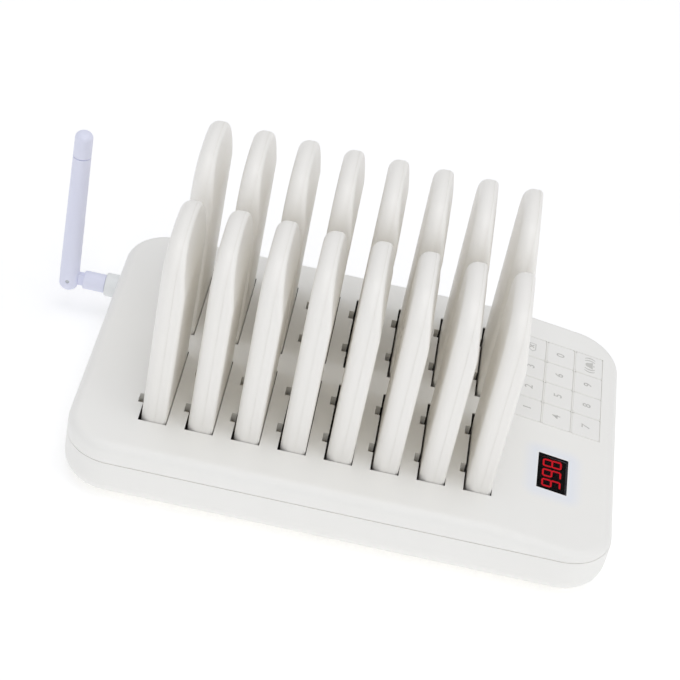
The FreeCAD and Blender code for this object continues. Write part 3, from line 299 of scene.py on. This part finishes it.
def plated(name, light, dark, roughness, pitch, relief):
    """Plated metal: a body colour in two tones, with fine parallel tool marks as relief."""
    material, tree, shader = blank(name)
    where = add(tree, "ShaderNodeTexCoord", {}, {})
    drift = add(tree, "ShaderNodeTexNoise", {"Scale": 1 / (PLATING_CLOUD * MM), "Detail": 4.0},
                {"Vector": (where, "Object")})
    tint = add(tree, "ShaderNodeMixRGB", {"Color1": linear(light), "Color2": linear(dark)},
               {"Fac": (drift, "Fac")})
    gloss = add(tree, "ShaderNodeMapRange",
                {"To Min": roughness - PLATING_SHINIER, "To Max": roughness + PLATING_DULLER},
                {"Value": (drift, "Fac")})
    marks = add(tree, "ShaderNodeTexWave",
                {"bands_direction": "Z", "Scale": bands_every(pitch), "Distortion": 1.5,
                 "Detail": 2.0}, {"Vector": (where, "Object")})
    bump = add(tree, "ShaderNodeBump", {"Strength": 0.3, "Distance": relief * MM},
               {"Height": (marks, "Fac")})
    wire(tree, shader, {"Metallic": 1.0}, {"Base Color": (tint, "Color"),
                                           "Roughness": (gloss, "Result"),
                                           "Normal": (bump, "Normal")})
    return material


zinc_steel = plated("zinc plated steel, clear passivated", ZINC_LIGHT, ZINC_DARK,
                    roughness=0.34, pitch=0.25, relief=0.02)
dress(["case_screws", "antenna_hinge_pin"], zinc_steel)

# Power inlet
# A round inlet for a low voltage plug, held in the rear wall by its nut. Both are moulded in
# black glass filled nylon, whose fibres leave the skin faintly mottled.
INLET_BLACK = "#141414"
INLET_GREY = "#202021"
inlet_nylon = moulded("glass filled nylon, black", INLET_BLACK, INLET_GREY, roughness=0.5,
                      grain=0.35, relief=0.03, ior=1.53, cloud=3.0)
dress(["dc_socket"], inlet_nylon)

# Circuit boards
# The charging board lies flat under the wells and the main board hangs under the panel. Both
# are glass epoxy with a glossy green solder mask over copper tracks, which stand proud of the
# board by their own thickness. Tracks are drawn three times wider than real ones, to show.
MASK_GREEN = "#1F6B45"
TRACK_GREEN = "#2F8A5C"
MASK_IOR = 1.55
MASK_SHINIEST = 0.22
MASK_DULLEST = 0.34
TRACK_PITCH = 2.4
TRACK_BLOCK = 14.0
TRACK_RELIEF = 0.05
TRACK_FROM = 0.62
TRACK_FULL = 0.7


def solder_mask(name):
    """Solder mask over tracks that run one way or the other, block by block."""
    material, tree, shader = blank(name)
    where = add(tree, "ShaderNodeTexCoord", {}, {})
    blocks = add(tree, "ShaderNodeTexVoronoi",
                 {"distance": "CHEBYCHEV", "Scale": 1 / (TRACK_BLOCK * MM)},
                 {"Vector": (where, "Object")})
    block = add(tree, "ShaderNodeSeparateColor", {}, {"Color": (blocks, "Color")})
    along, across = [add(tree, "ShaderNodeTexWave",
                         {"bands_direction": way, "Scale": bands_every(TRACK_PITCH)},
                         {"Vector": (where, "Object")}) for way in ("X", "Y")]
    turned = add(tree, "ShaderNodeMath", {"operation": "GREATER_THAN"}, {0: (block, "Red")})
    run = add(tree, "ShaderNodeMixRGB", {}, {"Fac": (turned, "Value"), "Color1": (along, "Color"),
                                             "Color2": (across, "Color")})
    track = add(tree, "ShaderNodeMapRange", {"From Min": TRACK_FROM, "From Max": TRACK_FULL},
                {"Value": (run, "Color")})
    used = add(tree, "ShaderNodeMath", {"operation": "MULTIPLY"},
               {0: (track, "Result"), 1: (block, "Green")})
    tint = add(tree, "ShaderNodeMixRGB",
               {"name": "body colour", "Color1": linear(MASK_GREEN),
                "Color2": linear(TRACK_GREEN)}, {"Fac": (used, "Value")})
    gloss = add(tree, "ShaderNodeMapRange", {"To Min": MASK_SHINIEST, "To Max": MASK_DULLEST},
                {"Value": (track, "Result")})
    bump = add(tree, "ShaderNodeBump", {"Strength": 0.6, "Distance": TRACK_RELIEF * MM},
               {"Height": (used, "Value")})
    wire(tree, shader, {"IOR": MASK_IOR}, {"Base Color": (tint, "Color"),
                                           "Roughness": (gloss, "Result"),
                                           "Normal": (bump, "Normal")})
    return material


board_mask = solder_mask("glass epoxy board, green solder mask")
dress(["charging_board", "main_board"], board_mask)

# Contacts
# Thirty-two strips that charge the pagers, blanked and bent from spring bronze and nickel
# plated: a warm bright metal with fine marks from the press.
NICKEL_LIGHT = "#D6D0C4"
NICKEL_DARK = "#BDB6A8"
contact_nickel = plated("nickel plated spring bronze", NICKEL_LIGHT, NICKEL_DARK,
                        roughness=0.28, pitch=0.3, relief=0.015)
dress(["charging_contacts"], contact_nickel)

# Keypad mat
# One sheet of silicone under all the keys, compression moulded, whose domes push them back
# up: translucent white, dull and slightly dusty.
MAT_WHITE = "#F0EFEB"
MAT_SHADE = "#E9E8E4"
silicone = moulded("compression moulded silicone, white", MAT_WHITE, MAT_SHADE, roughness=0.62,
                   grain=0.6, relief=0.04, ior=1.41, cloud=9.0)
dress(["keypad_mat"], silicone)

# Lattice between the keys
# A lattice of the same silicone stands on the mat between the caps. It keeps crumbs out, and
# leaves only a hairline round each key.
LATTICE_MIDDLE = (25.25, 31.55)
LATTICE_CELLS = (3, 4)
LATTICE_CELL = (14.7, 15.7)
LATTICE_HALF = 0.27
LATTICE_LIP = 0.09
LATTICE_TOP = 0.27
LATTICE_FOOT = -6.0


def pick(piece, kind, wanted=lambda middle: True):
    """Enter edit mode with only those vertices, edges or faces selected whose middle is wanted."""
    bpy.ops.object.mode_set(mode="EDIT")
    bpy.ops.mesh.select_mode(type=kind)
    bpy.ops.mesh.select_all(action="DESELECT")
    form = bmesh.from_edit_mesh(piece.data)
    for part in {"VERT": form.verts, "EDGE": form.edges, "FACE": form.faces}[kind]:
        corners = [part.co] if kind == "VERT" else [corner.co for corner in part.verts]
        if wanted(sum(corners, Vector()) / len(corners)):
            part.select_set(True)
    bmesh.update_edit_mesh(piece.data)


def hollow(piece, border):
    """Cut out each face of a flat shape but for a border of that width."""
    pick(piece, "FACE")
    bpy.ops.mesh.inset(thickness=border * MM, use_individual=True)
    bpy.ops.mesh.delete(type="FACE")


def film(piece, thickness):
    """Turn a flat shape into a closed film of that thickness, centred on its own plane."""
    bpy.ops.object.mode_set(mode="OBJECT")
    solid = piece.modifiers.new("film", "SOLIDIFY")
    solid.thickness = thickness * MM
    solid.offset = 0.0
    bpy.ops.object.modifier_apply(modifier=solid.name)


def settle(piece, place):
    """Leave edit mode, and give the piece its place in its own mesh."""
    if bpy.context.mode != "OBJECT":
        bpy.ops.object.mode_set(mode="OBJECT")
    piece.data.transform(place @ piece.matrix_world)
    piece.matrix_world = Matrix.Identity(4)


def coat_with(piece, material):
    """Give a new piece its only material."""
    piece.data.materials.clear()
    piece.data.materials.append(material)


lattice = begin(bpy.ops.mesh.primitive_grid_add,
                sides=(LATTICE_CELLS[0] * LATTICE_CELL[0], LATTICE_CELLS[1] * LATTICE_CELL[1], 1),
                x_subdivisions=LATTICE_CELLS[0], y_subdivisions=LATTICE_CELLS[1], size=1.0)
lattice.name = "keypad_lattice"
half_x = LATTICE_CELLS[0] / 2 * LATTICE_CELL[0] * MM
half_y = LATTICE_CELLS[1] / 2 * LATTICE_CELL[1] * MM
hollow(lattice, LATTICE_HALF)
pick(lattice, "VERT", lambda middle: abs(middle.x) > half_x - LATTICE_HALF / 2 * MM)
bpy.ops.transform.resize(value=(1 - LATTICE_LIP * MM / half_x, 1, 1))
pick(lattice, "VERT", lambda middle: abs(middle.y) > half_y - LATTICE_HALF / 2 * MM)
bpy.ops.transform.resize(value=(1, 1 - LATTICE_LIP * MM / half_y, 1))
film(lattice, LATTICE_TOP - LATTICE_FOOT)
place = Vector((*LATTICE_MIDDLE, (LATTICE_TOP + LATTICE_FOOT) / 2)) * MM
settle(lattice, panel @ Matrix.Translation(place))
coat_with(lattice, silicone)
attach(lattice, "root")

# Keys
# Twelve caps moulded in ABS, which stand a hair proud of the panel, each with hairlines round
# it. Their skin is the case's, a little smoother.
KEY_WHITE = "#F0EFEC"
KEY_SHADE = "#EDECE9"
KEY_TOP = 0.3
key_abs = moulded("satin ABS, key white", KEY_WHITE, KEY_SHADE, roughness=0.40,
                  grain=CASE_GRAIN, relief=0.02, ior=ABS_IOR)
dress([name for name in nodes if name.startswith("key_")], key_abs)

# Marks on the keys
# Numbers, a cross in a tag for delete and a bell with waves for call, pad printed in light grey
# ink: a thin matt film that stands on the cap. It is drawn twice as thick as real ink. All marks
# read from the right, along the panel.
MARK_GREY = "#C6C5C1"
MARK_FAINT = "#CCCBC7"
MARK_HEIGHT = 4.1
CAP_SHARE = 0.72
MARK_STEPS = 6
MARK_FILM = 0.03
MARK_SWELL = 0.06
NEAR = 0.01
MERGE = 0.001
KEY_ROWS = (10.55, 25.25, 39.95)
KEY_COLUMNS = (8.0, 23.7, 39.4, 55.1)
KEY_NAMES = (("1", "2", "3", "delete"), ("4", "5", "6", "0"), ("7", "8", "9", "call"))
TAG_LENGTH = 6.4
TAG_HEIGHT = 3.6
TAG_POINT = 1.5
TAG_LINE = 0.42
BELL_RADIUS = 1.6
BELL_SIDE = 1.8
BELL_FLARE = 1.45
BELL_BRIM = 0.4
BRIM_FLARE = 1.15
CLAPPER_RADIUS = 0.65
CLAPPER_DROP = 0.3
WAVE_PLACE = 4.2

from_the_right = Matrix.Rotation(math.radians(90), 4, "Z")
mark_ink = moulded("pad printed ink, light grey", MARK_GREY, MARK_FAINT, roughness=0.55,
                   grain=0.3, relief=0.004, ior=1.48, cloud=4.0)


def printed(text):
    """Numbers or signs in plain type, as a closed film."""
    piece = begin(bpy.ops.object.text_add)
    piece.data.body = text
    piece.data.size = MARK_HEIGHT / CAP_SHARE * MM
    piece.data.align_x = "CENTER"
    piece.data.align_y = "CENTER"
    piece.data.resolution_u = MARK_STEPS
    piece.data.offset = MARK_SWELL * MM
    bpy.ops.object.convert(target="MESH")
    piece = bpy.context.active_object
    pick(piece, "VERT")
    bpy.ops.mesh.remove_doubles(threshold=MERGE * MM)
    film(piece, MARK_FILM)
    return piece


def joined(pieces):
    """Several pieces as one."""
    bpy.ops.object.select_all(action="DESELECT")
    for piece in pieces:
        piece.select_set(True)
    bpy.context.view_layer.objects.active = pieces[0]
    bpy.ops.object.join()
    return bpy.context.active_object


def moved(piece, x, y):
    """The same piece, moved in its own plane."""
    piece.data.transform(Matrix.Translation((x * MM, y * MM, 0)))
    return piece


def extend(x, y):
    """Extrude the picked edges by that much."""
    bpy.ops.mesh.extrude_edges_move(TRANSFORM_OT_translate={"value": (x * MM, y * MM, 0)})


def printed_tag():
    """A tag with a point at its left, drawn as an outline with a cross in it."""
    body = TAG_LENGTH - TAG_POINT
    tag = begin(bpy.ops.mesh.primitive_plane_add, sides=(body, TAG_HEIGHT, 1), size=1.0)
    pick(tag, "EDGE", lambda middle: middle.x < (NEAR - body / 2) * MM)
    extend(-TAG_POINT, 0)
    bpy.ops.mesh.merge(type="CENTER")
    pick(tag, "FACE")
    bpy.ops.mesh.dissolve_faces()
    hollow(tag, TAG_LINE)
    film(tag, MARK_FILM)
    return joined([tag, printed("×")])


def half_disc(radius, upper, sides):
    """Half a round, its straight side on the x axis."""
    piece = begin(bpy.ops.mesh.primitive_circle_add, vertices=sides, radius=radius * MM,
                  fill_type="NGON")
    pick(piece, "FACE")
    kept = (0, 1 if upper else -1, 0)
    bpy.ops.mesh.bisect(plane_co=(0, 0, 0), plane_no=kept, clear_inner=True, use_fill=False)
    return piece


def printed_bell():
    """A bell from its side, crown, flared skirt, brim and clapper, with waves at both sides."""
    bell = half_disc(BELL_RADIUS, upper=True, sides=32)
    pick(bell, "EDGE", lambda middle: abs(middle.y) < NEAR * MM)
    extend(0, -BELL_SIDE)
    bpy.ops.transform.resize(value=(BELL_FLARE, 1, 1))
    extend(0, -BELL_BRIM)
    bpy.ops.transform.resize(value=(BRIM_FLARE, 1, 1))
    film(bell, MARK_FILM)
    clapper = half_disc(CLAPPER_RADIUS, upper=False, sides=24)
    film(clapper, MARK_FILM)
    moved(clapper, 0, -(BELL_SIDE + BELL_BRIM + CLAPPER_DROP))
    bell = moved(joined([bell, clapper]), 0, (BELL_SIDE - BELL_RADIUS + BELL_BRIM) / 2)
    left_waves = moved(printed("(("), -WAVE_PLACE, 0)
    right_waves = moved(printed("))"), WAVE_PLACE, 0)
    return joined([bell, left_waves, right_waves])


for row, names in zip(KEY_ROWS, KEY_NAMES):
    for column, name in zip(KEY_COLUMNS, names):
        if name == "delete":
            mark = printed_tag()
        elif name == "call":
            mark = printed_bell()
        else:
            mark = printed(name)
        mark.name = "mark_" + name
        place = Matrix.Translation(Vector((row, column, KEY_TOP)) * MM)
        settle(mark, panel @ place @ from_the_right)
        coat_with(mark, mark_ink)
        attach(mark, "key_" + name)

# Digit module
# Three seven-segment digits close behind the window, on the black face of the module. Each
# segment is a bar of cast epoxy over a red light: lit ones glow, the two unlit ones are dull.
MODULE_BLACK = "#0D0D0E"
MODULE_GREY = "#151516"
SEGMENT_DULL = "#2A1A1B"
SEGMENT_RED = "#E01828"
SEGMENT_GLOW = "#FF1A2B"
GLOW_STRENGTH = 7.0
EPOXY_IOR = 1.56
MODULE_TOP = -2.8
FACE_TOP = -1.8
FACE_SIDES = (12.6, 22.0)
FACE_CHAMFER = 0.35

display_epoxy = moulded("cast epoxy, black", MODULE_BLACK, MODULE_GREY, roughness=0.35,
                        grain=0.5, relief=0.01, ior=EPOXY_IOR, cloud=4.0)
dress(["display_module"], display_epoxy)

face_height = FACE_TOP - MODULE_TOP
face = begin(bpy.ops.mesh.primitive_cube_add, sides=(*FACE_SIDES, face_height), size=1.0)
face.name = "digit_face"
pick(face, "FACE", lambda middle: middle.z > (face_height / 2 - NEAR) * MM)
bpy.ops.mesh.bevel(offset=FACE_CHAMFER * MM, segments=3, affect="EDGES")
place = WINDOW_MIDDLE + Vector((0, 0, (FACE_TOP + MODULE_TOP) / 2)) * MM
settle(face, panel @ Matrix.Translation(place))
coat_with(face, display_epoxy)
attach(face, "root")

# Segments of the digits
# Each is a shallow bar with blunt pointed ends, set in the module's face with a small gap to the
# next, and the whole digit leans. Two bars of the nines aren't lit.
DIGITS = "998"
DIGIT_PITCH = 6.8
DIGIT_SHIFT = 1.1
DIGIT_HEIGHT = 9.2
DIGIT_WIDTH = 5.1
DIGIT_LEAN = -4.0
SEGMENT_WIDTH = 0.82
SEGMENT_DEPTH = 0.2
SEGMENT_GAP = 0.12
SEGMENT_TIP = 0.2
SEGMENT_PLACES = {"top": (0, 1, 0), "middle": (0, 0, 0), "bottom": (0, -1, 0),
                  "upper left": (-1, 0.5, 90), "upper right": (1, 0.5, 90),
                  "lower left": (-1, -0.5, 90), "lower right": (1, -0.5, 90)}
UNLIT = {"9": ("lower left",), "8": ()}

dull_segment = moulded("cast epoxy, unlit segment", SEGMENT_DULL, MODULE_GREY, roughness=0.4,
                       grain=0.4, relief=0.01, ior=EPOXY_IOR, cloud=2.0)
lit_segment = moulded("cast epoxy, lit red", SEGMENT_RED, SEGMENT_GLOW, roughness=0.4,
                      grain=0.4, relief=0.01, ior=EPOXY_IOR, cloud=2.0)
lit_tree = lit_segment.node_tree
wire(lit_tree, lit_tree.nodes["Principled BSDF"], {"Emission Strength": GLOW_STRENGTH},
     {"Emission Color": (lit_tree.nodes["body colour"], "Color")})


def segment(length):
    """One segment along x: a shallow bar whose ends come to a blunt point."""
    straight = length - SEGMENT_WIDTH - 2 * SEGMENT_GAP
    piece = begin(bpy.ops.mesh.primitive_cube_add,
                  sides=(straight, SEGMENT_WIDTH, SEGMENT_DEPTH), size=1.0)
    for side in (-1, 1):
        pick(piece, "FACE", lambda middle: side * middle.x > (straight / 2 - NEAR) * MM)
        tip = (side * SEGMENT_WIDTH / 2 * MM, 0, 0)
        bpy.ops.mesh.extrude_region_move(TRANSFORM_OT_translate={"value": tip})
        bpy.ops.transform.resize(value=(1, SEGMENT_TIP, 1))
    bpy.ops.object.mode_set(mode="OBJECT")
    return piece


half_width = (DIGIT_WIDTH - SEGMENT_WIDTH) / 2
half_height = (DIGIT_HEIGHT - SEGMENT_WIDTH) / 2
lean = Matrix.Identity(4)
lean[0][1] = math.tan(math.radians(DIGIT_LEAN))
lit_bars = []
dull_bars = []
for count, digit in enumerate(DIGITS):
    for name, (aside, up, turn) in SEGMENT_PLACES.items():
        bar = segment(half_height if turn else 2 * half_width)
        shift = Matrix.Translation(Vector((aside * half_width, up * half_height, 0)) * MM)
        settle(bar, lean @ shift @ Matrix.Rotation(math.radians(turn), 4, "Z"))
        moved(bar, (count - len(DIGITS) // 2) * DIGIT_PITCH + DIGIT_SHIFT, 0)
        (dull_bars if name in UNLIT[digit] else lit_bars).append(bar)
for name, bars, finish in (("lit_segments", lit_bars, lit_segment),
                           ("unlit_segments", dull_bars, dull_segment)):
    segments = joined(bars)
    segments.name = name
    place = WINDOW_MIDDLE + Vector((0, 0, FACE_TOP + SEGMENT_DEPTH / 2)) * MM
    settle(segments, panel @ Matrix.Translation(place) @ from_the_right)
    coat_with(segments, finish)
    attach(segments, "root")

# Display window
# A tile of smoked acrylic, laser cut and flame polished, bonded in a recess of the panel. It is
# near black and coated against glare, which lowers its index, so only the lit segments show.
SMOKE_LIGHT = "#57575A"
SMOKE_DARK = "#4E4E51"
COATED_IOR = 1.2
COATED_SHINE = 0.03
COATING_TINT = "#202024"
window_acrylic = moulded("smoked acrylic, polished", SMOKE_LIGHT, SMOKE_DARK, roughness=0.08,
                         grain=1.2, relief=0.001, ior=COATED_IOR, cloud=12.0)
window_tree = window_acrylic.node_tree
wire(window_tree, window_tree.nodes["Principled BSDF"],
     {"Transmission Weight": 1.0, "Specular IOR Level": COATED_SHINE,
      "Specular Tint": linear(COATING_TINT)}, {})
dress(["display_window"], window_acrylic)

# Window trim
# A thin frame of glossy white film over the joint between the window and the panel, die cut
# and stuck down. It gives the window its bright edge.
TRIM_WHITE = "#F4F5F6"
TRIM_SHADE = "#EDEEF0"
TRIM_INNER = Vector((14.5, 23.95))
TRIM_WIDTH = 0.75
TRIM_HEIGHT = 0.12
TRIM_EMBED = 0.06
TRIM_SOFTENED = 0.05
trim_film = moulded("die cut film, glossy white", TRIM_WHITE, TRIM_SHADE, roughness=0.2,
                    grain=0.8, relief=0.002, ior=1.5)
trim = begin(bpy.ops.mesh.primitive_plane_add,
             sides=(TRIM_INNER.x + 2 * TRIM_WIDTH, TRIM_INNER.y + 2 * TRIM_WIDTH, 1), size=1.0)
trim.name = "window_trim"
hollow(trim, TRIM_WIDTH)
film(trim, TRIM_HEIGHT + TRIM_EMBED)
soften = trim.modifiers.new("soft edge", "BEVEL")
soften.width = TRIM_SOFTENED * MM
soften.segments = 2
bpy.ops.object.modifier_apply(modifier=soften.name)
place = WINDOW_MIDDLE + Vector((0, 0, (TRIM_HEIGHT - TRIM_EMBED) / 2)) * MM
settle(trim, panel @ Matrix.Translation(place))
coat_with(trim, trim_film)
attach(trim, "root")

# Antenna
# A collar moulded in the case's white holds the stem. Stem, whip and tip are injection moulded
# in smooth polyurethane, whose white is cooler than the case's, faintly lavender.
COLLAR_WHITE = "#EDEFEF"
COLLAR_SHADE = "#E9EBEB"
ANTENNA_WHITE = "#E5E7F7"
ANTENNA_SHADE = "#E1E3F5"
collar_abs = moulded("moulded ABS, collar white", COLLAR_WHITE, COLLAR_SHADE, roughness=0.40,
                     grain=CASE_GRAIN, relief=0.02, ior=ABS_IOR)
dress(["antenna_collar"], collar_abs)
antenna_plastic = moulded("smooth polyurethane, cool white", ANTENNA_WHITE, ANTENNA_SHADE,
                          roughness=0.38, grain=0.9, relief=0.012, ior=1.5, cloud=20.0)
dress(["antenna_stem", "antenna_whip", "antenna_tip"], antenna_plastic)

# Pagers
# Sixteen flat paddles of two half shells each, moulded in white ABS with a smoother tool than
# the case's, so their narrow edges catch the light and the parting line is only a hairline.
PAGER_WHITE = "#F6F4F0"
PAGER_SHADE = "#F3F1EC"
pager_abs = moulded("satin ABS, pager white", PAGER_WHITE, PAGER_SHADE, roughness=0.36,
                    grain=CASE_GRAIN, relief=0.02, ior=ABS_IOR)
pager_names = [name for name in nodes if name.startswith("pager_")]
dress([name for name in pager_names if name.endswith("_case")], pager_abs)

# Pager seams
# The two halves of a pager close on a tongue that stands between their rims, a hair below the
# skin, so the parting line is only a shallow scratch. It has the rim's own outline.
ROWS = 2
PAGERS_A_ROW = 8
ROW_PITCH = 66.3
FIRST_SEAM = -70.625
SEAM_GAP = 0.12
TONGUE_RECESS = 0.2
TONGUE_THICKNESS = 0.1
tongue = bpy.data.objects.new("tongue", nodes["pager_01_case"].data.copy())
bpy.context.scene.collection.objects.link(tongue)
bpy.ops.object.select_all(action="DESELECT")
tongue.select_set(True)
bpy.context.view_layer.objects.active = tongue
rim = (FIRST_SEAM + SEAM_GAP / 2) * MM
pick(tongue, "FACE", lambda middle: abs(middle.x - rim) < NEAR * MM)
bpy.ops.mesh.select_all(action="INVERT")
bpy.ops.mesh.delete(type="FACE")
bpy.ops.mesh.select_all(action="SELECT")
bpy.ops.mesh.remove_doubles(threshold=MERGE * MM)
bpy.ops.mesh.inset(thickness=TONGUE_RECESS * MM)
bpy.ops.mesh.select_all(action="INVERT")
bpy.ops.mesh.delete(type="FACE")
film(tongue, TONGUE_THICKNESS)
settle(tongue, Matrix.Translation((-SEAM_GAP / 2 * MM, 0, 0)))
coat_with(tongue, pager_abs)
for row in range(ROWS):
    for column in range(PAGERS_A_ROW):
        name = "pager_%02d" % (PAGERS_A_ROW * row + column + 1)
        piece = bpy.data.objects.new(name + "_tongue", tongue.data.copy())
        moved(piece, SLOT_PITCH * column, ROW_PITCH * row)
        bpy.context.scene.collection.objects.link(piece)
        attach(piece, name)
bpy.data.objects.remove(tongue)

# Pager insides
# Board, cell, vibration motor, sounder and two charging pads in each pager. One finish tells
# them apart by their place across the pager: the cell's wrap behind the board, green board,
# steel cans in front of it, and nickel pads low down.
BOARD_BACK = 7.305
BOARD_FRONT = 8.31
PAD_TOP = 31.0
CELL_WRAP = "#8FA3B8"
CAN_STEEL = "#B9BCC0"
core_mask = solder_mask("pager board, cell and cans")
core_tree = core_mask.node_tree
core_where = add(core_tree, "ShaderNodeTexCoord", {}, {})
core_place = add(core_tree, "ShaderNodeSeparateXYZ", {}, {"Vector": (core_where, "Object")})
past_back = repeated_beyond(core_tree, core_place, FIRST_SLOT, FIRST_SLOT + BOARD_BACK - NEAR)
behind = add(core_tree, "ShaderNodeMath", {"operation": "SUBTRACT", 0: 1.0},
             {1: (past_back, "Value")})
before = repeated_beyond(core_tree, core_place, FIRST_SLOT, FIRST_SLOT + BOARD_FRONT + NEAR)
low = add(core_tree, "ShaderNodeMath", {"operation": "LESS_THAN", 1: PAD_TOP * MM},
          {0: (core_place, "Z")})
pad = add(core_tree, "ShaderNodeMath", {"operation": "MULTIPLY"},
          {0: (low, "Value"), 1: (behind, "Value")})
metal = add(core_tree, "ShaderNodeMath", {"operation": "MAXIMUM"},
            {0: (before, "Value"), 1: (pad, "Value")})
colour = core_tree.nodes["body colour"]
for share, code in ((behind, CELL_WRAP), (before, CAN_STEEL), (pad, NICKEL_LIGHT)):
    colour = add(core_tree, "ShaderNodeMixRGB", {"Color2": linear(code)},
                 {"Fac": (share, "Value"), "Color1": (colour, "Color")})
wire(core_tree, core_tree.nodes["Principled BSDF"], {},
     {"Base Color": (colour, "Color"), "Metallic": (metal, "Value")})
dress([name for name in pager_names if name.endswith("_core")], core_mask)
